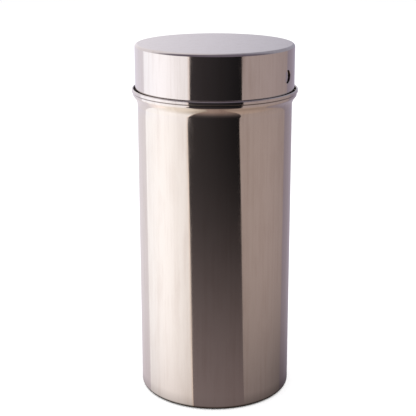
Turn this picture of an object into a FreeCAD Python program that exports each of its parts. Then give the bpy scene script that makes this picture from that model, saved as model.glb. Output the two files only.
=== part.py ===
"""Sterilising canister in stainless steel sheet: a drawn can with a flared and hemmed rim, a neck collar
that is spot-welded in its mouth, a slip-on lid with a vent, and the lift-out dish carrier that stands
inside.

Millimetres. The origin is the middle of the underside, +Z is up and the lid's vent looks along +X.
Each piece is drawn or bent from sheet, so it is given by the middle line of the sheet and its bends.
"""

import FreeCAD, Part
import math
import os

from FreeCAD import Vector

same_point = 1e-6  # two points closer than this are one

# Can
body_radius = 54.0  # outside of the wall
body_sheet = 0.5
base_edge_radius = 2.5  # outside radius between wall and base
base_recess = 1.2  # the middle of the base is pressed up by this much
foot_width = 7.0  # flat ring that the can stands on
recess_slope = 3.0  # width of the step between the ring and the recess
recess_bend = 1.6  # middle line radius of the step's two bends

# Rim of the can
flare_height = 211.6  # where the middle lines of wall and flare would meet
flare_angle = 38.0  # degrees from upright
flare_bend = 8.35  # middle line radius where the wall turns out into the flare
trough_width = 1.2  # open gap between the lid's skirt and the rim
rim_bend = 1.2  # middle line radius where the flare turns upright again
rim_height = 4.6  # from the meeting of flare and rim up to the rim's top
hem_gap = 0.1  # between the two layers of the hem
hem_depth = 2.1  # length of the layer that is folded out and down
hem_lean = 0.2  # its lower edge stands this much further out than its fold

# Lid
lid_sheet = 0.5
lid_step = 1.45  # the skirt's outside stands this far outside the can's wall
lid_height = 36.5
lid_edge_radius = 2.1  # outside radius between top and skirt
lid_seat_gap = 0.3  # between the skirt's lower edge and the flare, measured upright

# Neck collar
collar_sheet = 0.5
slip_gap = 0.55  # between the collar and the inside of the skirt
weld_gap = 0.05  # between the collar and the inside of the can
collar_depth = 12.0  # length of collar inside the can's wall
collar_headroom = 2.5  # between the collar's top and the underside of the lid
joggle_height = 3.5  # over which the collar steps out to the lid's size
joggle_drop = 0.6  # the step starts this far below the meeting of wall and flare
joggle_bend = 3.0

# Vents, one in the lid's skirt and one in the collar: half a turn of the lid brings them together
vent_radius = 4.5
vent_rise = 17.0  # from the skirt's lower edge to the vents' centres

# Dish carrier
strap_width = 14.0
strap_thickness = 1.2
strap_wall_gap = 2.0  # between the straps and the collar's bore
strap_foot_bend = 3.0  # middle line radius at the foot of the straps
strap_top_bend = 22.0  # middle line radius where the straps turn in to the handle
strap_end_gap = 0.4  # between strap ends that meet, and between a strap's end and the hoop's side
handle_drop = 8.0  # the handle's top lies this far below the collar's top
plate_thickness = 1.0
plate_edge_gap = 0.3  # between the plate and the bends at the foot of the straps
plate_hole_radius = 8.0
plate_hole_count = 4
plate_hole_circle = 28.0  # radius of the circle that the holes lie on


def unit(start, end):
    """The direction from start to end."""
    step = end - start
    return step * (1 / step.Length)


def left_of(direction):
    """The normal to the left of a direction in the plane y = 0, seen with x to the right and z up."""
    return Vector(-direction.z, 0, direction.x)


def offset_corners(corners, offset):
    """The corners of the line that runs at this distance to the left of the line through corners."""
    sides = [left_of(unit(a, b)) for a, b in zip(corners, corners[1:])]
    moved = []
    for corner, before, after in zip(corners, sides[:1] + sides, sides + sides[-1:]):
        middle = before + after
        moved.append(corner + middle * (offset / middle.dot(before)))
    return moved


def bent_edges(corners, bends, offset):
    """The edges of the line at this distance to the left of corners, with an arc at each inner corner.
    The bends are the arcs' radii at offset 0, and all offsets of a corner share its centre."""
    moved = offset_corners(corners, offset)
    edges = []
    start = moved[0]
    for before, corner, after, bend in zip(moved, moved[1:], moved[2:], bends):
        arrive = unit(before, corner)
        leave = unit(corner, after)
        turns_left = arrive.x * leave.z - arrive.z * leave.x > 0
        radius = bend - offset if turns_left else bend + offset
        half_turn = arrive.getAngle(leave) / 2
        reach = radius * math.tan(half_turn)
        arc_start = corner - arrive * reach
        arc_end = corner + leave * reach
        inward = unit(corner, (arc_start + arc_end) * 0.5)
        arc_middle = corner + inward * radius * (1 / math.cos(half_turn) - 1)
        if not arc_start.isEqual(start, same_point):
            edges.append(Part.LineSegment(start, arc_start).toShape())
        edges.append(Part.Arc(arc_start, arc_middle, arc_end).toShape())
        start = arc_end
    edges.append(Part.LineSegment(start, moved[-1]).toShape())
    return edges


def end_edge(before, end, half, rounded):
    """The edge across a sheet's end, where the middle line comes from the point before."""
    outward = unit(before, end)
    side = left_of(outward) * half
    if rounded:
        return Part.Arc(end + side, end + outward * half, end - side).toShape()
    return Part.LineSegment(end + side, end - side).toShape()


def sheet_section(middle_line, bends, thickness, start_rounded=True):
    """A face in the plane y = 0, the section of a sheet with this middle line. An end that is rounded, as
    a deburred edge is, reaches past the middle line by half of the sheet."""
    corners = [Vector(x, 0, z) for x, z in middle_line]
    half = thickness / 2
    edges = bent_edges(corners, bends, half)
    edges += bent_edges(corners, bends, -half)
    edges.append(end_edge(corners[1], corners[0], half, start_rounded))
    edges.append(end_edge(corners[-2], corners[-1], half, True))
    return Part.Face(Part.Wire(Part.__sortEdges__(edges)))


def outward_solid(shape):
    """The one solid in a shape, with its faces turned outwards."""
    solid = shape.Solids[0]
    if solid.Volume < 0:
        solid.reverse()
    return solid


def spun(middle_line, bends, thickness, start_rounded=True):
    """A sheet spun about the Z axis."""
    face = sheet_section(middle_line, bends, thickness, start_rounded)
    return outward_solid(face.revolve(Vector(0, 0, 0), Vector(0, 0, 1), 360))


def strap(middle_line, bends):
    """A carrier strap with this middle line in the plane y = 0, as wide to one side as to the other."""
    face = sheet_section(middle_line, bends, strap_thickness)
    face.translate(Vector(0, -strap_width / 2, 0))
    return outward_solid(face.extrude(Vector(0, strap_width, 0)))


def vent_punch(wall_radius, direction):
    """The bar that punches a vent through a wall of this radius, on the side given by the direction."""
    start = direction * (wall_radius - vent_radius) + Vector(0, 0, vent_height)
    return Part.makeCylinder(vent_radius, 2 * vent_radius, start, direction)


# Can, as far as the other pieces need it
wall_middle = body_radius - body_sheet / 2
bore_radius = body_radius - body_sheet
floor_height = base_recess + body_sheet
lid_radius = body_radius + lid_step
rim_radius = lid_radius + trough_width + body_sheet
flare_radians = math.radians(flare_angle)
rim_corner = flare_height + (rim_radius - body_radius) / math.tan(flare_radians)
rim_top = rim_corner + rim_height

# Lid, from where the flare's upper side passes under the skirt's outside
flare_at_skirt = flare_height + (lid_radius - wall_middle) / math.tan(flare_radians)
flare_upper_side = flare_at_skirt + body_sheet / 2 / math.sin(flare_radians)
lid_bottom = flare_upper_side + lid_seat_gap
lid_top = lid_bottom + lid_height
vent_height = lid_bottom + vent_rise

# Collar
collar_radius = lid_radius - lid_sheet - slip_gap
collar_foot_radius = bore_radius - weld_gap
joggle_start = flare_height - joggle_drop
collar_bottom = joggle_start - collar_depth
collar_top = lid_top - lid_sheet - collar_headroom

# Carrier, by the middle lines of its straps
strap_side = collar_foot_radius - collar_sheet - strap_wall_gap - strap_thickness / 2
strap_low = floor_height + strap_thickness / 2
handle_middle = collar_top - handle_drop - strap_thickness / 2
plate_bottom = floor_height + strap_thickness
plate_radius = strap_side - strap_foot_bend - plate_edge_gap


def canister_body():
    """Drawn can with a recessed base, a flare and an upright rim whose edge is hemmed outwards."""
    recess_middle = base_recess + body_sheet / 2
    foot_middle = body_sheet / 2
    foot_inner = body_radius - base_edge_radius - foot_width
    rim_middle = rim_radius - body_sheet / 2
    hem_middle = rim_middle + body_sheet + hem_gap
    hem_top = rim_top - body_sheet / 2
    middle_line = [
        (0, recess_middle),
        (foot_inner - recess_slope, recess_middle),
        (foot_inner, foot_middle),
        (wall_middle, foot_middle),
        (wall_middle, flare_height),
        (rim_middle, rim_corner),
        (rim_middle, hem_top),
        (hem_middle, hem_top),
        (hem_middle + hem_lean, hem_top - hem_depth),
    ]
    base_bend = base_edge_radius - body_sheet / 2
    fold = (body_sheet + hem_gap) / 2
    bends = [recess_bend, recess_bend, base_bend, flare_bend, rim_bend, fold, fold]
    return spun(middle_line, bends, body_sheet, start_rounded=False)


def neck_collar():
    """Rolled ring inside the mouth, stepped out to the lid's size, with its vent on the far side at -X."""
    half = collar_sheet / 2
    middle_line = [
        (collar_foot_radius - half, collar_bottom + half),
        (collar_foot_radius - half, joggle_start),
        (collar_radius - half, joggle_start + joggle_height),
        (collar_radius - half, collar_top - half),
    ]
    ring = spun(middle_line, [joggle_bend, joggle_bend], collar_sheet)
    return outward_solid(ring.cut(vent_punch(collar_radius, Vector(-1, 0, 0))))


def lid():
    """Drawn cap that slips over the collar, with its vent at +X."""
    half = lid_sheet / 2
    middle_line = [
        (0, lid_top - half),
        (lid_radius - half, lid_top - half),
        (lid_radius - half, lid_bottom + half),
    ]
    cap = spun(middle_line, [lid_edge_radius - half], lid_sheet, start_rounded=False)
    return outward_solid(cap.cut(vent_punch(lid_radius, Vector(1, 0, 0))))


def carrier_hoop():
    """One long strap in the plane x = 0: under the plate, up both sides and across the top as a handle.
    Its two ends meet under the plate."""
    end = (strap_end_gap + strap_thickness) / 2
    middle_line = [
        (end, strap_low),
        (strap_side, strap_low),
        (strap_side, handle_middle),
        (-strap_side, handle_middle),
        (-strap_side, strap_low),
        (-end, strap_low),
    ]
    hoop = strap(middle_line, [strap_foot_bend, strap_top_bend, strap_top_bend, strap_foot_bend])
    hoop.rotate(Vector(0, 0, 0), Vector(0, 0, 1), 90)
    return hoop


def carrier_back_strap():
    """Strap up the +X side, with its foot under the plate and its top under the handle."""
    beside_hoop = strap_width / 2 + strap_end_gap + strap_thickness / 2
    under_handle = handle_middle - strap_thickness
    middle_line = [
        (beside_hoop, strap_low),
        (strap_side, strap_low),
        (strap_side, under_handle),
        (strap_thickness / 2 - strap_width / 2, under_handle),
    ]
    return strap(middle_line, [strap_foot_bend, strap_top_bend - strap_thickness])


def carrier_plate():
    """Round plate that the dishes stand on, with holes for steam and hot air."""
    plate = Part.makeCylinder(plate_radius, plate_thickness, Vector(0, 0, plate_bottom))
    for i in range(plate_hole_count):
        angle = 2 * math.pi * (i + 0.5) / plate_hole_count
        x = plate_hole_circle * math.cos(angle)
        y = plate_hole_circle * math.sin(angle)
        plate = plate.cut(Part.makeCylinder(plate_hole_radius, plate_thickness, Vector(x, y, plate_bottom)))
    return outward_solid(plate)


def main():
    pieces = {
        "canister_body": canister_body(),
        "neck_collar": neck_collar(),
        "lid": lid(),
        "carrier_hoop": carrier_hoop(),
        "carrier_back_strap": carrier_back_strap(),
        "carrier_plate": carrier_plate(),
    }
    os.makedirs("parts", exist_ok=True)
    for name, solid in pieces.items():
        if not solid.isValid():
            raise ValueError(f"{name} is not a valid solid")
        solid.exportStep(f"parts/{name}.step")
        box = solid.optimalBoundingBox()
        print(f"{name}: {solid.Volume:.0f} mm3, x {box.XMin:.2f} to {box.XMax:.2f}")
        print(f"    y {box.YMin:.2f} to {box.YMax:.2f}, z {box.ZMin:.2f} to {box.ZMax:.2f}")
    print(f"rim top {rim_top:.2f}, lid {lid_bottom:.2f} to {lid_top:.2f}, vents at {vent_height:.2f}")


main()
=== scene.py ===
import math

import bpy
from mathutils import Matrix, Vector


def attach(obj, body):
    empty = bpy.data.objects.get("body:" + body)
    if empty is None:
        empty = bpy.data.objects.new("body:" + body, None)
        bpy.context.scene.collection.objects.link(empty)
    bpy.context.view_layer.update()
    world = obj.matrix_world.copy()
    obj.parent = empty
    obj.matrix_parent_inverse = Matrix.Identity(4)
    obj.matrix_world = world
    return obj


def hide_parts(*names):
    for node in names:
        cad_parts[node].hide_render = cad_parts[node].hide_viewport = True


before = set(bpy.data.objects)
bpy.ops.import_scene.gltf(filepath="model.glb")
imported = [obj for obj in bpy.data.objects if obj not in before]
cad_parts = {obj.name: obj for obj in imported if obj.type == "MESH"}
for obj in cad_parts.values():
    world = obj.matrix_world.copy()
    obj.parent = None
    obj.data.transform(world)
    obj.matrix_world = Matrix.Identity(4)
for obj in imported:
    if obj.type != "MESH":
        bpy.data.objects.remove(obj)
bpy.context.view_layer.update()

mm = 0.001

# A mix node has the same socket names for every kind of value, so its sockets go by number
colourA, colourB, mixedColour = 6, 7, 2
vectorA, vectorB, mixedVector = 4, 5, 1


# Colours are written as sRGB hex and used as linear light
def linear(hexColour):
    channels = [int(hexColour[i:i + 2], 16) / 255 for i in (1, 3, 5)]
    return [c / 12.92 if c <= 0.04045 else ((c + 0.055) / 1.055) ** 2.4 for c in channels]


def blend(start, end, share):
    return start + (end - start) * share


# Adds one node; inputs go by name or number, and a socket given as a value is linked
def addNode(tree, kind, inputs=None, **settings):
    node = tree.nodes.new(kind)
    for name, value in settings.items():
        setattr(node, name, value)
    for key, value in (inputs or {}).items():
        if isinstance(value, bpy.types.NodeSocket):
            tree.links.new(value, node.inputs[key])
        else:
            node.inputs[key].default_value = value
    return node


def newMaterial(name):
    material = bpy.data.materials.new(name)
    material.use_nodes = True
    material.node_tree.nodes.clear()
    return material


def newObject(name, data):
    made = bpy.data.objects.new(name, data)
    bpy.context.scene.collection.objects.link(made)
    return made


# Stainless sheet, 304, drawn and then buffed: nearly a mirror, a little wavy, with long faint marks up
# the wall where it slid through the die, and stains and dull spots from use. Sizes are in mm.
polish = {
    "colour": "#D0CBC6",
    "roughness": 0.065,
    "dullness": 0.07,         # added where the marks and spots are
    "dullRange": (0.85, 1.35),    # of marks and spots added up, from clean to dull
    "stain": "#A8968B",
    "stainShare": 0.2,
    "stainRange": (0.9, 1.35),
    "peelSize": 3.2,          # soft unevenness of buffed sheet
    "peelDepth": 0.0006,
    "drawWidth": 2.2,         # upright marks from drawing the can
    "drawLength": 120.0,
    "drawDepth": 0.0006,
    "waveSize": 55.0,         # slow waviness of the wall
    "waveDepth": 0.03,
    "spotWidth": 7.0,
    "spotLength": 28.0,
    "creviceShade": "#3A302B",       # painted shade for the crevice under the hem
    "creviceShadeWidth": 0.9,
    "creviceShadeCore": 0.4,         # share of that width with all of the painted shade
    "creviceShadeShare": 0.9,
}


# How much of a point's colour is painted shade, from a crevice that runs round the axis at this radius and
# height
def creviceShadeShare(tree, place, finish, radius, height):
    level = addNode(tree, "ShaderNodeVectorMath", {0: place, 1: (1, 1, 0)}, operation="MULTIPLY").outputs[0]
    out = addNode(tree, "ShaderNodeVectorMath", {0: level}, operation="LENGTH").outputs["Value"]
    up = addNode(tree, "ShaderNodeSeparateXYZ", {0: place}).outputs[2]
    profile = addNode(tree, "ShaderNodeCombineXYZ", {0: out, 1: up}).outputs[0]
    crevice = (radius * mm, height * mm, 0)
    away = addNode(tree, "ShaderNodeVectorMath", {0: profile, 1: crevice}, operation="DISTANCE")
    share = addNode(tree, "ShaderNodeMapRange", {
        "Value": away.outputs["Value"],
        "From Min": finish["creviceShadeCore"] * finish["creviceShadeWidth"] * mm,
        "From Max": finish["creviceShadeWidth"] * mm,
        "To Min": finish["creviceShadeShare"],
        "To Max": 0.0,
    })
    return share.outputs[0]


def polishedSheet(name, finish, crevice=None):
    material = newMaterial(name)
    tree = material.node_tree
    place = addNode(tree, "ShaderNodeTexCoord").outputs["Object"]

    def pattern(width, length, detail):
        scale = (1 / (width * mm), 1 / (width * mm), 1 / (length * mm))
        spread = addNode(tree, "ShaderNodeVectorMath", {0: place, 1: scale}, operation="MULTIPLY").outputs[0]
        noise = addNode(tree, "ShaderNodeTexNoise", {"Vector": spread, "Scale": 1.0, "Detail": detail})
        return noise.outputs["Fac"]

    marks = pattern(finish["drawWidth"], finish["drawLength"], 3.0)
    spots = pattern(finish["spotWidth"], finish["spotLength"], 3.0)
    layers = [
        (pattern(finish["waveSize"], finish["waveSize"], 0.0), finish["waveDepth"]),
        (marks, finish["drawDepth"]),
        (pattern(finish["peelSize"], finish["peelSize"], 1.0), finish["peelDepth"]),
    ]
    normal = None
    for height, depth in layers:
        bump = addNode(tree, "ShaderNodeBump", {"Strength": 1.0, "Distance": depth * mm, "Height": height})
        if normal:
            tree.links.new(normal, bump.inputs["Normal"])
        normal = bump.outputs[0]
    worn = addNode(tree, "ShaderNodeMath", {0: marks, 1: spots}, operation="ADD").outputs[0]
    dull = addNode(tree, "ShaderNodeMapRange", {
        "Value": worn,
        "From Min": finish["dullRange"][0],
        "From Max": finish["dullRange"][1],
        "To Min": finish["roughness"],
        "To Max": finish["roughness"] + finish["dullness"],
    })
    share = addNode(tree, "ShaderNodeMapRange", {
        "Value": worn,
        "From Min": finish["stainRange"][0],
        "From Max": finish["stainRange"][1],
        "To Min": 0.0,
        "To Max": finish["stainShare"],
    })
    colour = addNode(tree, "ShaderNodeMix", {
        "Factor": share.outputs[0],
        colourA: (*linear(finish["colour"]), 1),
        colourB: (*linear(finish["stain"]), 1),
    }, data_type="RGBA").outputs[mixedColour]
    # Painted shade: a dark brown ring where the hem's edge meets the rim
    if crevice:
        colour = addNode(tree, "ShaderNodeMix", {
            "Factor": creviceShadeShare(tree, place, finish, *crevice),
            colourA: colour,
            colourB: (*linear(finish["creviceShade"]), 1),
        }, data_type="RGBA").outputs[mixedColour]
    shader = addNode(tree, "ShaderNodeBsdfPrincipled", {
        "Base Color": colour,
        "Metallic": 1.0,
        "Roughness": dull.outputs[0],
        "Normal": normal,
    })
    addNode(tree, "ShaderNodeOutputMaterial", {"Surface": shader.outputs[0]})
    return material


polishedSteel = polishedSheet("polishedStainless304", polish)

# Stainless strip and plate, cold rolled and tumbled: an even satin with no clear direction
rolled = {
    "colour": "#C9C5C0",
    "roughness": 0.3,
    "grainSize": 0.6,
    "grainDepth": 0.0006,
    "patchSize": 18.0,
    "patchRoughness": 0.1,    # added where a patch is dull
}
patchRange = (0.35, 0.65)     # of the patches' noise, from bright to dull


def rolledSteel(name, finish):
    material = newMaterial(name)
    tree = material.node_tree
    place = addNode(tree, "ShaderNodeTexCoord").outputs["Object"]
    grain, patch = [addNode(tree, "ShaderNodeTexNoise", {
        "Vector": place,
        "Scale": 1 / (finish[size] * mm),
        "Detail": detail,
    }).outputs["Fac"] for size, detail in (("grainSize", 2.0), ("patchSize", 3.0))]
    bump = addNode(tree, "ShaderNodeBump", {
        "Strength": 1.0,
        "Distance": finish["grainDepth"] * mm,
        "Height": grain,
    })
    dull = addNode(tree, "ShaderNodeMapRange", {
        "Value": patch,
        "From Min": patchRange[0],
        "From Max": patchRange[1],
        "To Min": finish["roughness"],
        "To Max": finish["roughness"] + finish["patchRoughness"],
    })
    shader = addNode(tree, "ShaderNodeBsdfPrincipled", {
        "Base Color": (*linear(finish["colour"]), 1),
        "Metallic": 1.0,
        "Roughness": dull.outputs[0],
        "Normal": bump.outputs[0],
    })
    addNode(tree, "ShaderNodeOutputMaterial", {"Surface": shader.outputs[0]})
    return material


stripSteel = rolledSteel("rolledStainlessStrip", rolled)
print("materials made")

guard = 0.4                   # mm from a straight run's end to the point that guards it
samePlace = 0.001             # mm, within which two points of a line are one
seamGap = 0.002               # mm, within which a finished sheet's points are joined


# A bent line in a plane: corners (x, z) with a round bend at each inner corner, all in mm. Straight runs
# get a point close to each end, which keeps the shading of the bends off them.
def bentLine(corners, bends, turnPerStep):
    points = [Vector(corners[0])]
    for before, corner, after, bend in zip(corners, corners[1:], corners[2:], bends):
        arrive = (Vector(corner) - Vector(before)).normalized()
        leave = (Vector(after) - Vector(corner)).normalized()
        turn = arrive.angle_signed(leave)      # clockwise turns are positive
        reach = bend * math.tan(abs(turn) / 2)
        start = Vector(corner) - arrive * reach
        toCentre = Vector((arrive.y, -arrive.x)) * math.copysign(bend, turn)
        steps = max(2, math.ceil(abs(math.degrees(turn)) / turnPerStep))
        for i in range(steps + 1):
            points.append(start + toCentre + Matrix.Rotation(-turn * i / steps, 2) @ -toCentre)
    points.append(Vector(corners[-1]))
    line = [points[0]]
    for point in points[1:]:
        run = point - line[-1]
        if run.length > 4 * guard:
            inset = run.normalized() * guard
            line += [line[-1] + inset, point - inset]
        if run.length > samePlace:
            line.append(point)
    return line


# The middle line of a sheet as a mesh of edges, which the node trees read point by point
def lineMesh(name, line):
    mesh = bpy.data.meshes.new(name)
    points = [(x * mm, 0, z * mm) for x, z in line]
    mesh.from_pydata(points, [(i, i + 1) for i in range(len(points) - 1)], [])
    return mesh


def newTree(name, inputs):
    tree = bpy.data.node_groups.new(name, "GeometryNodeTree")
    tree.interface.new_socket("Geometry", in_out="INPUT", socket_type="NodeSocketGeometry")
    for label, kind in inputs:
        tree.interface.new_socket(label, in_out="INPUT", socket_type=kind)
    tree.interface.new_socket("Geometry", in_out="OUTPUT", socket_type="NodeSocketGeometry")
    return tree, addNode(tree, "NodeGroupInput").outputs


# Shades and colours what a tree has made
def endTree(tree, geometry, material):
    real = addNode(tree, "GeometryNodeRealizeInstances", {0: geometry})
    smooth = addNode(tree, "GeometryNodeSetShadeSmooth", {0: real.outputs[0]})
    coloured = addNode(tree, "GeometryNodeSetMaterial", {0: smooth.outputs[0], "Material": material})
    addNode(tree, "NodeGroupOutput", {0: coloured.outputs[0]})


# A grid with one row for each point of the line and this many columns; gives each grid point's place on
# the line and the number of its column
def lineGrid(tree, line, columns):
    count = addNode(tree, "GeometryNodeAttributeDomainSize", {0: line}).outputs[0]
    grid = addNode(tree, "GeometryNodeMeshGrid", {"Vertices X": count, "Vertices Y": columns})
    index = addNode(tree, "GeometryNodeInputIndex").outputs[0]
    part = addNode(tree, "ShaderNodeMath", {0: index, 1: columns}, operation="DIVIDE").outputs[0]
    row = addNode(tree, "ShaderNodeMath", {0: part}, operation="FLOOR").outputs[0]
    column = addNode(tree, "ShaderNodeMath", {0: index, 1: columns}, operation="MODULO").outputs[0]
    sample = addNode(tree, "GeometryNodeSampleIndex", {
        "Geometry": line,
        "Value": addNode(tree, "GeometryNodeInputPosition").outputs[0],
        "Index": row,
    }, data_type="FLOAT_VECTOR")
    place = addNode(tree, "ShaderNodeSeparateXYZ", {0: sample.outputs[0]})
    return grid.outputs[0], place.outputs[0], place.outputs[2], column


ventGrip = 0.95               # share of the vent's radius within which grid points are taken out


# Spins the line about the axis. Round the vent the grid is eased from squares into circles, so that the
# vent's edge follows the grid, and the points inside it are taken out.
def spunSheetTree():
    tree, given = newTree("spunSheet", [
        ("Segments", "NodeSocketInt"),
        ("Wall Radius", "NodeSocketFloat"),
        ("Vent Radius", "NodeSocketFloat"),
        ("Vent Height", "NodeSocketFloat"),
        ("Vent Turn", "NodeSocketFloat"),
        ("Vent Square", "NodeSocketFloat"),
        ("Vent Patch", "NodeSocketFloat"),
        ("Material", "NodeSocketMaterial"),
    ])
    columns = addNode(tree, "ShaderNodeMath", {0: given["Segments"], 1: 1}, operation="ADD").outputs[0]
    grid, lineX, lineZ, column = lineGrid(tree, given["Geometry"], columns)
    part = addNode(tree, "ShaderNodeMath", {0: column, 1: given["Segments"]}, operation="DIVIDE").outputs[0]
    turn = addNode(tree, "ShaderNodeMath", {0: part, 1: 2 * math.pi, 2: -math.pi},
                   operation="MULTIPLY_ADD").outputs[0]
    # Where the point lies from the vent's centre, along the wall and up it
    along = addNode(tree, "ShaderNodeMath", {0: turn, 1: given["Wall Radius"]},
                    operation="MULTIPLY").outputs[0]
    up = addNode(tree, "ShaderNodeMath", {0: lineZ, 1: given["Vent Height"]}, operation="SUBTRACT").outputs[0]
    away = addNode(tree, "ShaderNodeCombineXYZ", {0: along, 1: up}).outputs[0]
    size = addNode(tree, "ShaderNodeVectorMath", {0: away}, operation="ABSOLUTE").outputs[0]
    sides = addNode(tree, "ShaderNodeSeparateXYZ", {0: size}).outputs
    square = addNode(tree, "ShaderNodeMath", {0: sides[0], 1: sides[1]}, operation="MAXIMUM").outputs[0]
    length = addNode(tree, "ShaderNodeVectorMath", {0: away}, operation="LENGTH").outputs["Value"]
    # The centre itself has no length to divide by
    divisor = addNode(tree, "ShaderNodeMath", {0: length, 1: samePlace * mm}, operation="MAXIMUM").outputs[0]
    ratio = addNode(tree, "ShaderNodeMath", {0: square, 1: divisor}, operation="DIVIDE").outputs[0]
    growth = addNode(tree, "ShaderNodeMath", {0: given["Vent Radius"], 1: given["Vent Square"]},
                     operation="DIVIDE").outputs[0]
    circle = addNode(tree, "ShaderNodeMath", {0: ratio, 1: growth}, operation="MULTIPLY").outputs[0]
    eased = addNode(tree, "ShaderNodeMapRange", {
        "Value": square,
        "From Min": given["Vent Square"],
        "From Max": given["Vent Patch"],
        "To Min": circle,
        "To Max": 1.0,
    }, interpolation_type="SMOOTHSTEP").outputs[0]
    newTurn = addNode(tree, "ShaderNodeMath", {0: turn, 1: eased, 2: given["Vent Turn"]},
                      operation="MULTIPLY_ADD").outputs[0]
    newZ = addNode(tree, "ShaderNodeMath", {0: up, 1: eased, 2: given["Vent Height"]},
                   operation="MULTIPLY_ADD").outputs[0]
    # The sheet's points and the vent's centre are swung round the axis to their places
    unturned = addNode(tree, "ShaderNodeCombineXYZ", {0: lineX, 2: newZ}).outputs[0]
    place = addNode(tree, "ShaderNodeVectorRotate", {"Vector": unturned, "Angle": newTurn},
                    rotation_type="Z_AXIS").outputs[0]
    spun = addNode(tree, "GeometryNodeSetPosition", {"Geometry": grid, "Position": place}).outputs[0]
    ventUnturned = addNode(tree, "ShaderNodeCombineXYZ", {0: given["Wall Radius"], 2: given["Vent Height"]})
    ventCentre = addNode(tree, "ShaderNodeVectorRotate", {
        "Vector": ventUnturned.outputs[0],
        "Angle": given["Vent Turn"],
    }, rotation_type="Z_AXIS").outputs[0]
    apart = addNode(tree, "ShaderNodeVectorMath", {
        0: addNode(tree, "GeometryNodeInputPosition").outputs[0],
        1: ventCentre,
    }, operation="DISTANCE").outputs["Value"]
    reach = addNode(tree, "ShaderNodeMath", {0: given["Vent Radius"], 1: ventGrip},
                    operation="MULTIPLY").outputs[0]
    inside = addNode(tree, "ShaderNodeMath", {0: apart, 1: reach}, operation="LESS_THAN").outputs[0]
    pierced = addNode(tree, "GeometryNodeDeleteGeometry", {"Geometry": spun, "Selection": inside},
                      domain="POINT")
    joined = addNode(tree, "GeometryNodeMergeByDistance", {0: pierced.outputs[0], "Distance": seamGap * mm})
    endTree(tree, joined.outputs[0], given["Material"])
    return tree


# Draws the line out sideways into a strip, then turns the strip about the upright axis
def bentStripTree():
    tree, given = newTree("bentStrip", [
        ("Width", "NodeSocketFloat"),
        ("Turn", "NodeSocketFloat"),
        ("Material", "NodeSocketMaterial"),
    ])
    grid, lineX, lineZ, column = lineGrid(tree, given["Geometry"], 2)
    side = addNode(tree, "ShaderNodeMath", {0: column, 1: -0.5}, operation="ADD").outputs[0]
    y = addNode(tree, "ShaderNodeMath", {0: side, 1: given["Width"]}, operation="MULTIPLY").outputs[0]
    place = addNode(tree, "ShaderNodeCombineXYZ", {0: lineX, 1: y, 2: lineZ}).outputs[0]
    turned = addNode(tree, "ShaderNodeVectorRotate", {"Vector": place, "Angle": given["Turn"]},
                     rotation_type="Z_AXIS").outputs[0]
    strip = addNode(tree, "GeometryNodeSetPosition", {"Geometry": grid, "Position": turned})
    endTree(tree, strip.outputs[0], given["Material"])
    return tree


def addShape(made, tree, values):
    shaping = made.modifiers.new("shape", "NODES")
    shaping.node_group = tree
    sockets = {s.name: s.identifier for s in tree.interface.items_tree if s.in_out == "INPUT"}
    for label, value in values.items():
        shaping[sockets[label]] = value


# Keeps what the modifiers make as plain mesh
def keepShape(made):
    depsgraph = bpy.context.evaluated_depsgraph_get()
    solid = bpy.data.meshes.new_from_object(made.evaluated_get(depsgraph))
    made.modifiers.clear()
    made.data = solid
    return made


edgeSteps = 3                 # faces across a broken edge
edgeAngle = 50.0              # degrees; flatter edges aren't broken


# Gives the skin that a tree makes its thickness and its broken edges
def sheetPiece(name, line, tree, values, thickness, edge):
    made = newObject(name, lineMesh(name, line))
    addShape(made, tree, values)
    wall = made.modifiers.new("wall", "SOLIDIFY")
    wall.thickness = thickness * mm
    wall.offset = 0
    wall.use_even_offset = True
    wall.use_quality_normals = True
    rounding = made.modifiers.new("edges", "BEVEL")
    rounding.width = edge * mm
    rounding.segments = edgeSteps
    rounding.limit_method = "ANGLE"
    rounding.angle_limit = math.radians(edgeAngle)
    rounding.harden_normals = True
    return keepShape(made)


spunSheet = spunSheetTree()
bentStrip = bentStripTree()

# The can: a drawn cup whose mouth is flared, turned upright again and hemmed outwards
can = {
    "radius": 54.0,
    "sheet": 0.5,
    "edge": 0.22,             # how far the cut edges are broken
    "segments": 384,
    "bendStep": 7.5,          # degrees from point to point in a bend
    "baseEdgeRadius": 2.5,
    "baseRecess": 1.2,
    "footWidth": 7.0,
    "recessSlope": 3.0,
    "recessBend": 1.6,
    "flareHeight": 211.6,
    "flareAngle": 38.0,
    "flareBend": 8.35,
    "rimRadius": 57.15,       # of the upright band, without its hem
    "rimBend": 1.2,
    "rimHeight": 4.6,
    "hemGap": 0.1,
    "hemDepth": 2.1,
    "hemLean": 0.2,
}
canWall = can["radius"] - can["sheet"] / 2
flareSlope = math.tan(math.radians(can["flareAngle"]))
# For a sheet without a vent: it is a metre below and too small for any point of the grid
noVent = {
    "Vent Radius": 0.001 * mm,
    "Vent Height": -1000 * mm,
    "Vent Turn": 0.0,
    "Vent Square": 1 * mm,
    "Vent Patch": 2 * mm,
}


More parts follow.
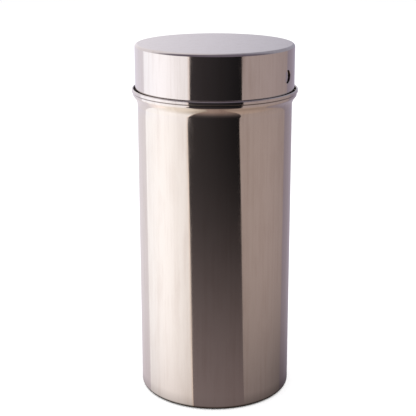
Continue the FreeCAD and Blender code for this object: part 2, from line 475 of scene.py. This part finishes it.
def canBody():
    # Radii (R) and heights (Z) of the sheet's middle line
    half = can["sheet"] / 2
    floorZ = can["baseRecess"] + half
    footR = can["radius"] - can["baseEdgeRadius"] - can["footWidth"]
    rimR = can["rimRadius"] - half
    rimCornerZ = can["flareHeight"] + (can["rimRadius"] - can["radius"]) / flareSlope
    hemR = rimR + can["sheet"] + can["hemGap"]
    hemZ = rimCornerZ + can["rimHeight"] - half
    hemEndZ = hemZ - can["hemDepth"]
    corners = [
        (0, floorZ),
        (footR - can["recessSlope"], floorZ),
        (footR, half),
        (canWall, half),
        (canWall, can["flareHeight"]),
        (rimR, rimCornerZ),
        (rimR, hemZ),
        (hemR, hemZ),
        (hemR + can["hemLean"], hemEndZ),
    ]
    fold = (can["sheet"] + can["hemGap"]) / 2
    bends = [
        can["recessBend"],
        can["recessBend"],
        can["baseEdgeRadius"] - half,
        can["flareBend"],
        can["rimBend"],
        fold,
        fold,
    ]
    line = bentLine(corners, bends, can["bendStep"])
    # The same sheet, with painted shade where the hem's edge meets the rim
    hemShadedSteel = polishedSheet("polishedStainless304HemShaded", polish, (can["rimRadius"], hemEndZ))
    values = {"Segments": can["segments"], "Wall Radius": canWall * mm, "Material": hemShadedSteel, **noVent}
    return sheetPiece("canBody", line, spunSheet, values, can["sheet"], can["edge"])


# The lid: a drawn cap with a vent punched in its skirt
lid = {
    "radius": 55.45,
    "sheet": 0.5,
    "edge": 0.12,
    "segments": 384,
    "bendStep": 7.5,
    "height": 36.5,
    "edgeRadius": 2.1,
    "seatGap": 0.3,           # over the flare, which the skirt stands above
    "ventRadius": 4.5,
    "ventRise": 17.0,
    "ventCells": 5,           # grid cells from the vent's centre to its edge
    "patchCells": 11,         # and to where the grid is even again
}
lidBottom = (can["flareHeight"] + (lid["radius"] - canWall) / flareSlope
             + can["sheet"] / 2 / math.sin(math.radians(can["flareAngle"])) + lid["seatGap"])
lidTop = lidBottom + lid["height"]
ventHeight = lidBottom + lid["ventRise"]


# Heights of the grid rows round a vent, as far apart as the grid's columns are
def ventRows(wallRadius, segments):
    cell = 2 * math.pi * wallRadius / segments
    return [ventHeight + cell * i for i in range(-lid["patchCells"], lid["patchCells"] + 1)]


def ventValues(wallRadius, segments, turn):
    cell = 2 * math.pi * wallRadius / segments * mm
    return {
        "Segments": segments,
        "Wall Radius": wallRadius * mm,
        "Vent Radius": lid["ventRadius"] * mm,
        "Vent Height": ventHeight * mm,
        "Vent Turn": turn,
        "Vent Square": cell * lid["ventCells"],
        "Vent Patch": cell * lid["patchCells"],
        "Material": polishedSteel,
    }


def lidCap():
    half = lid["sheet"] / 2
    wall = lid["radius"] - half
    rows = [(wall, z) for z in reversed(ventRows(wall, lid["segments"]))]
    corners = [(0, lidTop - half), (wall, lidTop - half), rows[0]]
    line = bentLine(corners, [lid["edgeRadius"] - half], lid["bendStep"]) + rows[1:] + [(wall, lidBottom)]
    values = ventValues(wall, lid["segments"], 0.0)
    return sheetPiece("lidCap", line, spunSheet, values, lid["sheet"], lid["edge"])


# The collar: a rolled ring welded inside the mouth, stepped out to the lid's size. Its own vent is on the
# far side, so the lid's vent shows a wall.
collar = {
    "sheet": 0.5,
    "edge": 0.12,
    "segments": 384,
    "bendStep": 3.0,
    "slipGap": 0.55,          # to the lid's skirt
    "weldGap": 0.05,          # to the can's wall
    "depth": 12.0,
    "headroom": 2.5,
    "joggleHeight": 3.5,      # of the step
    "joggleDrop": 0.6,
    "joggleBend": 3.0,
}
collarRadius = lid["radius"] - lid["sheet"] - collar["slipGap"]
collarFoot = can["radius"] - can["sheet"] - collar["weldGap"]
collarTop = lidTop - lid["sheet"] - collar["headroom"]
joggleZ = can["flareHeight"] - collar["joggleDrop"]


def neckRing():
    half = collar["sheet"] / 2
    wall = collarRadius - half
    rows = [(wall, z) for z in ventRows(wall, collar["segments"])]
    corners = [
        (collarFoot - half, joggleZ - collar["depth"]),
        (collarFoot - half, joggleZ),
        (wall, joggleZ + collar["joggleHeight"]),
        rows[0],
    ]
    step = bentLine(corners, [collar["joggleBend"]] * 2, collar["bendStep"])
    line = step + rows[1:] + [(wall, collarTop)]
    values = ventValues(wall, collar["segments"], math.pi)
    return sheetPiece("neckRing", line, spunSheet, values, collar["sheet"], collar["edge"])


# The dish carrier: one long strap as hoop and handle, a second strap at the back, and a plate, which is
# the frame's own
carrier = {
    "width": 14.0,
    "thickness": 1.2,
    "plateThickness": 1.0,
    "edge": 0.3,
    "bendStep": 5.0,
    "wallGap": 2.0,
    "footBend": 3.0,
    "topBend": 22.0,
    "endGap": 0.4,            # between the straps' ends under the plate
    "handleDrop": 8.0,        # from the collar's top
}
strapSide = collarFoot - collar["sheet"] - carrier["wallGap"] - carrier["thickness"] / 2
strapLow = can["baseRecess"] + can["sheet"] + carrier["thickness"] / 2
handleZ = collarTop - carrier["handleDrop"] - carrier["thickness"] / 2


def strapPiece(name, corners, bends, turn):
    line = bentLine(corners, bends, carrier["bendStep"])
    values = {"Width": carrier["width"] * mm, "Turn": turn, "Material": stripSteel}
    return sheetPiece(name, line, bentStrip, values, carrier["thickness"], carrier["edge"])


def carrierHoop():
    end = carrier["endGap"] / 2
    corners = [(end, strapLow), (strapSide, strapLow), (strapSide, handleZ)]
    corners += [(-x, z) for x, z in reversed(corners)]
    bends = [carrier["footBend"], carrier["topBend"], carrier["topBend"], carrier["footBend"]]
    return strapPiece("carrierHoop", corners, bends, math.pi / 2)


def carrierBackStrap():
    underHandle = handleZ - carrier["thickness"]
    corners = [
        (carrier["width"] / 2 + carrier["endGap"], strapLow),
        (strapSide, strapLow),
        (strapSide, underHandle),
        (-carrier["width"] / 2, underHandle),
    ]
    bends = [carrier["footBend"], carrier["topBend"] - carrier["thickness"]]
    return strapPiece("carrierBackStrap", corners, bends, 0.0)


# Spot welds: shallow dimples that the welding tips left, round the foot of the collar, on the plate over
# the straps and where the straps cross in the handle
weld = {
    "radius": 1.9,
    "rise": 0.12,
    "segments": 20,
    "rings": 10,
    "collarCount": 12,
    "collarRise": 5.0,        # above the collar's lower edge
    "plateRadius": 38.0,      # circle on which the plate is welded to the straps
    "spacing": 3.2,           # of a pair, from the middle
}
weldFinish = {
    "colour": "#9C9085",
    "roughness": 0.38,
    "grainSize": 0.5,
    "grainDepth": 0.002,
    "patchSize": 2.5,
    "patchRoughness": 0.2,
}
# Stainless that was squeezed and heated at a weld: a duller spot with a straw tint
weldedSteel = rolledSteel("heatTintedStainless", weldFinish)


def weldSpotsTree():
    tree, given = newTree("weldSpots", [
        ("Radius", "NodeSocketFloat"),
        ("Rise", "NodeSocketFloat"),
        ("Material", "NodeSocketMaterial"),
    ])
    ball = addNode(tree, "GeometryNodeMeshUVSphere", {
        "Segments": weld["segments"],
        "Rings": weld["rings"],
        "Radius": given["Radius"],
    })
    flat = addNode(tree, "ShaderNodeMath", {0: given["Rise"], 1: given["Radius"]},
                   operation="DIVIDE").outputs[0]
    squash = addNode(tree, "ShaderNodeCombineXYZ", {0: 1.0, 1: 1.0, 2: flat})
    spot = addNode(tree, "GeometryNodeTransform", {"Geometry": ball.outputs[0], "Scale": squash.outputs[0]})
    facing = addNode(tree, "GeometryNodeInputNamedAttribute", {"Name": "facing"}, data_type="FLOAT_VECTOR")
    turn = addNode(tree, "FunctionNodeAlignRotationToVector", {"Vector": facing.outputs[0]}, axis="Z")
    spots = addNode(tree, "GeometryNodeInstanceOnPoints", {
        "Points": given["Geometry"],
        "Instance": spot.outputs[0],
        "Rotation": turn.outputs[0],
    })
    endTree(tree, spots.outputs[0], given["Material"])
    return tree


def weldSpots():
    places = []               # each with the way that the weld faces
    inside = collarFoot - collar["sheet"]
    ringZ = joggleZ - collar["depth"] + weld["collarRise"]
    for i in range(weld["collarCount"]):
        turn = 2 * math.pi * (i + 0.5) / weld["collarCount"]
        out = Vector((math.cos(turn), math.sin(turn), 0))
        places.append((out * inside + Vector((0, 0, ringZ)), -out))
    up = Vector((0, 0, 1))
    plateTop = strapLow + carrier["thickness"] / 2 + carrier["plateThickness"]
    handleTop = handleZ + carrier["thickness"] / 2
    for offset in (-weld["spacing"], weld["spacing"]):
        for spoke in (Vector((0, 1, 0)), Vector((0, -1, 0)), Vector((1, 0, 0))):
            across = Vector((-spoke.y, spoke.x, 0))
            places.append((spoke * weld["plateRadius"] + across * offset + up * plateTop, up))
        places.append((Vector((offset, offset, handleTop)), up))
    mesh = bpy.data.meshes.new("weldSpots")
    mesh.from_pydata([place * mm for place, facing in places], [], [])
    facings = [c for place, facing in places for c in facing]
    mesh.attributes.new("facing", "FLOAT_VECTOR", "POINT").data.foreach_set("vector", facings)
    values = {"Radius": weld["radius"] * mm, "Rise": weld["rise"] * mm, "Material": weldedSteel}
    made = newObject("weldSpots", mesh)
    addShape(made, weldSpotsTree(), values)
    return keepShape(made)


pieceList = [
    (canBody(), "canister", "canister_body", "polished_sheet"),
    (neckRing(), "canister", "neck_collar", "polished_sheet"),
    (lidCap(), "lid", "lid", "polished_sheet"),
    (carrierHoop(), "canister", "carrier_hoop", "strap_steel"),
    (carrierBackStrap(), "canister", "carrier_back_strap", "strap_steel"),
    (weldSpots(), "canister", None, "strap_steel"),
]
for piece, body, node, slot in pieceList:
    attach(piece, body)
    if node:
        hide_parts(node)
    print(piece.name, len(piece.data.vertices), "points", len(piece.data.polygons), "faces")

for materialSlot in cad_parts["carrier_plate"].material_slots:
    materialSlot.material = stripSteel
print("pieces made")

# The photograph's viewpoint, in mm and degrees
camera = {
    "azimuth": 27.6,          # round from the front, towards the vent's side
    "distance": 720.4,        # level distance from the canister's axis
    "height": 346.3,
    "tilt": 15.056,           # below level
    "lens": 90.36,
    "sensor": 36.0,
    "shiftX": -0.0163,
    "shiftY": -0.0661,
}
view = math.radians(camera["azimuth"])
toCamera = Vector((math.sin(view), -math.cos(view), 0))
toRight = Vector((math.cos(view), math.sin(view), 0))


def placeCamera():
    lens = bpy.data.cameras.new("viewpoint")
    lens.lens = camera["lens"]
    lens.sensor_width = camera["sensor"]
    lens.shift_x = camera["shiftX"]
    lens.shift_y = camera["shiftY"]
    lens.clip_start = 10 * mm
    lens.clip_end = 50000 * mm
    viewpoint = newObject("viewpoint", lens)
    viewpoint.location = (toCamera * camera["distance"] + Vector((0, 0, camera["height"]))) * mm
    viewpoint.rotation_euler = (math.radians(90 - camera["tilt"]), 0, view)
    bpy.context.scene.camera = viewpoint


placeCamera()

# Cards that only the metal sees. Each lies on the floor from the can's foot out to a metre, and then
# stands up. Its sides follow the mirrored rays of places on the can, so they show there as upright lines:
# an edge is given in degrees round the can from the middle of the view, as seen near the foot, at a metre
# and on the standing part.
edges = {
    "limbLeft": (-90, -90, -90),
    "softboxLeft": (-59, -60.3, -58.8),
    "flagLeft": (-15.8, -19.3, -17.1),
    "flagRight": (23.2, 17.3, 18.6),
    "greyRight": (60, 61, 61),
    "limbRight": (90, 90, 90),
    "behind": (270, 270, 270),        # limbLeft again, reached round the back
}
# Colours are what the steel shows at the card's left and right side, near the foot and far from it. Steep
# is how much brighter either side is from straight above, where the flare sees it. The near colour gives
# way about fade mm out, the more suddenly the higher rush is. Foot is the share of light close to the can,
# a painted shadow of the can on the floor, and swell how much brighter the card's middle is. A rightTint
# colours the right side's edge alone.
cards = [
    {
        "name": "backdropLeft",
        "sides": ("limbLeft", "softboxLeft"),
        "near": ("#AC9FA1", "#BAACAC"),
        "far": ("#C1B6B8", "#D5CAC8"),
        "steep": (2.1, 2.1),
        "fade": 120, "rush": 1.0, "foot": 0.7, "swell": 0.0, "height": 240,
    },
    {
        "name": "softbox",
        "sides": ("softboxLeft", "flagLeft"),
        "near": ("#D0C4BF", "#CBBCB3"),
        "far": ("#F7EFEB", "#E8DCD4"),
        "steep": (0.95, 0.5),
        "fade": 85, "rush": 1.0, "foot": 0.7, "swell": 0.14, "height": 240,
        "rightTint": (0.95, 0.83, 0.74),
    },
    {
        "name": "flag",
        "sides": ("flagLeft", "flagRight"),
        "near": ("#71625F", "#675855"),
        "far": ("#322C2B", "#141212"),
        "steep": (1.75, 1.6),
        "fade": 270, "rush": 1.4, "foot": 0.9, "swell": 0.0, "height": 300,
    },
    {
        "name": "greyCard",
        "sides": ("flagRight", "greyRight"),
        "near": ("#786964", "#594E4B"),
        "far": ("#9A877E", "#917F79"),
        "steep": (1.42, 1.42),
        "fade": 150, "rush": 1.3, "foot": 0.55, "swell": 0.06, "height": 240,
    },
    {
        "name": "backdropRight",
        "sides": ("greyRight", "limbRight"),
        "near": ("#4A4042", "#63595F"),
        "far": ("#807276", "#988D95"),
        "steep": (1.2, 1.2),
        "fade": 100, "rush": 1.0, "foot": 0.6, "swell": 0.0, "height": 240,
    },
    {
        "name": "backdropBehind",
        "sides": ("limbRight", "behind"),
        "near": ("#63595F", "#ADA2A6"),
        "far": ("#988D95", "#C2B9BD"),
        "steep": (1.0, 1.0),
        "fade": 110, "rush": 1.0, "foot": 0.6, "swell": 0.0, "height": 240,
    },
]
# What all cards share, in mm
everyCard = {
    "reach": 1000,            # out from the can to where a card stands up
    "rows": (0, 5, 10, 20, 35, 60, 90, 130, 180, 250, 340, 450, 600, 780),    # of points on the floor
    "columns": 24,
    "lift": 0.2,              # off the floor
    "hem": 15,                # height of the lowest standing row
    "footWidth": 20,          # over which the foot gets its full light
    "underEdge": 0.04,        # share of light under the can's rounded edge: painted shade there
    "standingTint": (0.98, 0.995, 1.05),      # the standing parts are a little bluer
    "steepTint": (1.05, 0.97, 0.84),          # and light from straight above is warmer
    "steepRange": (0.05, 0.45),               # of Layer Weight's facing, from steep to not
}
noTint = (1, 1, 1)
stainSpread = 0.3             # share of the stain that the whole sheet has on average
# What the buffed sheet throws back on average, with its stains
steelLight = [blend(clean, stained, polish["stainShare"] * stainSpread)
              for clean, stained in zip(linear(polish["colour"]), linear(polish["stain"]))]


def hideFromAllButMetal(made):
    made.visible_camera = False
    made.visible_diffuse = False
    made.visible_shadow = False


# A card gives off its points' light. Where it lies, steep rays get more, as told by the light's alpha.
def cardMaterial(name, lying):
    material = newMaterial(name)
    tree = material.node_tree
    given = addNode(tree, "ShaderNodeAttribute", attribute_name="light").outputs
    light = given["Color"]
    if lying:
        level = addNode(tree, "ShaderNodeMapRange", {
            "Value": addNode(tree, "ShaderNodeLayerWeight", {"Blend": 0.5}).outputs["Facing"],
            "From Min": everyCard["steepRange"][0],
            "From Max": everyCard["steepRange"][1],
        })
        steep = addNode(tree, "ShaderNodeVectorMath", {0: everyCard["steepTint"], 3: given["Alpha"]},
                        operation="SCALE")
        gain = addNode(tree, "ShaderNodeMix", {
            "Factor": level.outputs[0],
            vectorA: steep.outputs[0],
            vectorB: noTint,
        }, data_type="VECTOR").outputs[mixedVector]
        light = addNode(tree, "ShaderNodeVectorMath", {0: light, 1: gain}, operation="MULTIPLY").outputs[0]
    glow = addNode(tree, "ShaderNodeEmission", {"Color": light})
    addNode(tree, "ShaderNodeOutputMaterial", {"Surface": glow.outputs[0]})
    return material


# What a card must give off for the steel to show its colour there; across runs from 0 at its left side to
# 1 at its right
def cardLight(card, across, reach, standing):
    near, far = [[blend(left, right, across) for left, right in zip(*map(linear, card[end]))]
                 for end in ("near", "far")]
    farShare = 1 - math.exp(-(max(reach, 0) / card["fade"]) ** card["rush"])
    shown = [blend(start, end, farShare) for start, end in zip(near, far)]
    gain = 1 + card["swell"] * math.sin(math.pi * across) ** 2
    # Close to the can and under its edge the card is dimmed: a painted shadow of the can
    if reach > 0:
        gain *= blend(card["foot"], 1, min(1, reach / everyCard["footWidth"]))
    else:
        gain *= everyCard["underEdge"]
    partTint = everyCard["standingTint"] if standing else noTint
    sideTint = card.get("rightTint", noTint) if across == 1 else noTint
    return [gain * colour * part * side / metal
            for colour, part, side, metal in zip(shown, partTint, sideTint, steelLight)]


# Where the ray that the can mirrors at this turn is, reach mm out. Past the limb, where the camera sees
# nothing of the can, it leads straight away from the camera.
def alongRay(turn, reach):
    aside = can["radius"] * math.sin(turn)
    ahead = can["radius"] * math.cos(turn)
    viewed = math.atan2(aside, camera["distance"] - ahead)
    mirrored = viewed + (2 * turn if turn < math.pi / 2 else math.pi)
    return toRight * (aside + reach * math.sin(mirrored)) + toCamera * (ahead + reach * math.cos(mirrored))


def makeCard(card):
    columns = everyCard["columns"]
    reaches = (-can["baseEdgeRadius"], *everyCard["rows"], everyCard["reach"])
    heights = (everyCard["hem"], card["height"] / 2, card["height"])
    rows = [(reach, everyCard["lift"]) for reach in reaches]
    rows += [(everyCard["reach"], height) for height in heights]
    points, lights, faces = [], [], []
    for reach, height in rows:
        standing = height > everyCard["lift"]
        farShare = math.sqrt(max(reach, 0) / everyCard["reach"])
        left, right = [whenStanding if standing else blend(nearFoot, farOut, farShare)
                       for nearFoot, farOut, whenStanding in (edges[side] for side in card["sides"])]
        for i in range(columns + 1):
            across = i / columns
            point = alongRay(math.radians(blend(left, right, across)), reach)
            points.append((point.x * mm, point.y * mm, height * mm))
            lights += [*cardLight(card, across, reach, standing), blend(*card["steep"], across)]
    for row in range(len(rows) - 1):
        for i in range(columns):
            corner = row * (columns + 1) + i
            faces.append((corner, corner + 1, corner + columns + 2, corner + columns + 1))
    mesh = bpy.data.meshes.new(card["name"])
    mesh.from_pydata(points, [], faces)
    mesh.attributes.new("light", "FLOAT_COLOR", "POINT").data.foreach_set("color", lights)
    mesh.materials.append(cardMaterial(card["name"], True))
    mesh.materials.append(cardMaterial(card["name"] + "Standing", False))
    lyingFaces = (len(reaches) - 1) * columns
    for face in mesh.polygons:
        face.material_index = 0 if face.index < lyingFaces else 1
    hideFromAllButMetal(newObject(card["name"], mesh))


for card in cards:
    makeCard(card)

# A white floor that keeps the soft shadow at the can's foot, and a white surround. Above the cards the
# metal sees a tent that is lit behind the canister and above it, and dim on the camera's side.
studio = {
    "floorRadius": 3000.0,
    "floorDrop": 0.05,        # below the can's foot
    "floorColour": "#F2F2F2",
    "floorGlow": 0.45,
    "surround": "#FFFFFF",
    "fill": 0.8,              # soft light from all round
    "tentRadius": 2600.0,
    "tentFront": "#5F555E",   # these three as the steel shows them
    "tentLeft": "#D3C9C9",
    "tentRight": "#8A858D",
    "tentTurn": 2.5,          # how fast left gives way to right
    "tentLit": (-0.45, 0.3),  # from the front's colour to the others, as a share of the way to the back
    "keyPower": 5.0,
    "keySize": 1200.0,
    "keyPlace": (-100.0, -250.0, 1500.0),
}


# 1 where the camera looks, straight or by way of metal or glass
def seenDirectly(tree):
    path = addNode(tree, "ShaderNodeLightPath").outputs
    seen = path["Is Camera Ray"]
    for kind in ("Is Glossy Ray", "Is Transmission Ray"):
        seen = addNode(tree, "ShaderNodeMath", {0: seen, 1: path[kind]}, operation="MAXIMUM").outputs[0]
    return seen


def makeFloor():
    bpy.ops.mesh.primitive_circle_add(vertices=96, radius=studio["floorRadius"] * mm, fill_type="NGON")
    floor = bpy.context.object
    floor.name = "floor"
    floor.location = (0, 0, -studio["floorDrop"] * mm)
    material = newMaterial("paleFloor")
    tree = material.node_tree
    place = addNode(tree, "ShaderNodeTexCoord").outputs["Object"]
    out = addNode(tree, "ShaderNodeVectorMath", {0: place}, operation="LENGTH").outputs["Value"]
    # The floor under the can stays dark
    bare = addNode(tree, "ShaderNodeMapRange", {
        "Value": out,
        "From Min": (can["radius"] - can["baseEdgeRadius"]) * mm,
        "From Max": can["radius"] * mm,
        "To Max": studio["floorGlow"],
    })
    glow = addNode(tree, "ShaderNodeMath", {0: seenDirectly(tree), 1: bare.outputs[0]}, operation="MULTIPLY")
    paper = addNode(tree, "ShaderNodeBsdfDiffuse", {"Color": (*linear(studio["floorColour"]), 1)})
    light = addNode(tree, "ShaderNodeEmission", {"Strength": glow.outputs[0]})
    both = addNode(tree, "ShaderNodeAddShader", {0: paper.outputs[0], 1: light.outputs[0]})
    addNode(tree, "ShaderNodeOutputMaterial", {"Surface": both.outputs[0]})
    floor.data.materials.append(material)


# A light tent that only the metal sees
def makeTent():
    bpy.ops.mesh.primitive_uv_sphere_add(segments=48, ring_count=24, radius=studio["tentRadius"] * mm)
    tent = bpy.context.object
    tent.name = "tent"
    material = newMaterial("tentCloth")
    tree = material.node_tree
    place = addNode(tree, "ShaderNodeTexCoord").outputs["Object"]
    ray = addNode(tree, "ShaderNodeVectorMath", {0: place}, operation="NORMALIZE").outputs[0]
    back, sideways = [
        addNode(tree, "ShaderNodeVectorMath", {0: ray, 1: way}, operation="DOT_PRODUCT").outputs["Value"]
        for way in (-toCamera, toRight)
    ]
    lit = addNode(tree, "ShaderNodeMapRange", {
        "Value": back,
        "From Min": studio["tentLit"][0],
        "From Max": studio["tentLit"][1],
    }, interpolation_type="SMOOTHSTEP")
    turned = addNode(tree, "ShaderNodeMath", {0: sideways, 1: studio["tentTurn"], 2: 0.5},
                     operation="MULTIPLY_ADD", use_clamp=True)
    front, left, right = [
        (*(shown / metal for shown, metal in zip(linear(studio[part]), steelLight)), 1)
        for part in ("tentFront", "tentLeft", "tentRight")
    ]
    rear = addNode(tree, "ShaderNodeMix", {"Factor": turned.outputs[0], colourA: left, colourB: right},
                   data_type="RGBA").outputs[mixedColour]
    cloth = addNode(tree, "ShaderNodeMix", {"Factor": lit.outputs[0], colourA: front, colourB: rear},
                    data_type="RGBA").outputs[mixedColour]
    glow = addNode(tree, "ShaderNodeEmission", {"Color": cloth})
    addNode(tree, "ShaderNodeOutputMaterial", {"Surface": glow.outputs[0]})
    tent.data.materials.append(material)
    hideFromAllButMetal(tent)


def makeWorld():
    world = bpy.data.worlds.new("studio")
    world.use_nodes = True
    tree = world.node_tree
    tree.nodes.clear()
    shown = addNode(tree, "ShaderNodeMix", {
        "Factor": seenDirectly(tree),
        colourA: (studio["fill"], studio["fill"], studio["fill"], 1),
        colourB: (*linear(studio["surround"]), 1),
    }, data_type="RGBA").outputs[mixedColour]
    background = addNode(tree, "ShaderNodeBackground", {"Color": shown, "Strength": 1.0})
    addNode(tree, "ShaderNodeOutputWorld", {"Surface": background.outputs[0]})
    bpy.context.scene.world = world


# A large lamp over the canister, for the shadow at its foot
def makeKey():
    lamp = bpy.data.lights.new("key", "AREA")
    lamp.energy = studio["keyPower"]
    lamp.size = studio["keySize"] * mm
    key = newObject("key", lamp)
    key.location = Vector(studio["keyPlace"]) * mm
    key.rotation_euler = (-key.location).to_track_quat("-Z", "Y").to_euler()
    key.visible_glossy = False


makeFloor()
makeTent()
makeWorld()
makeKey()
bpy.context.scene.view_settings.view_transform = "Standard"
print("studio made")
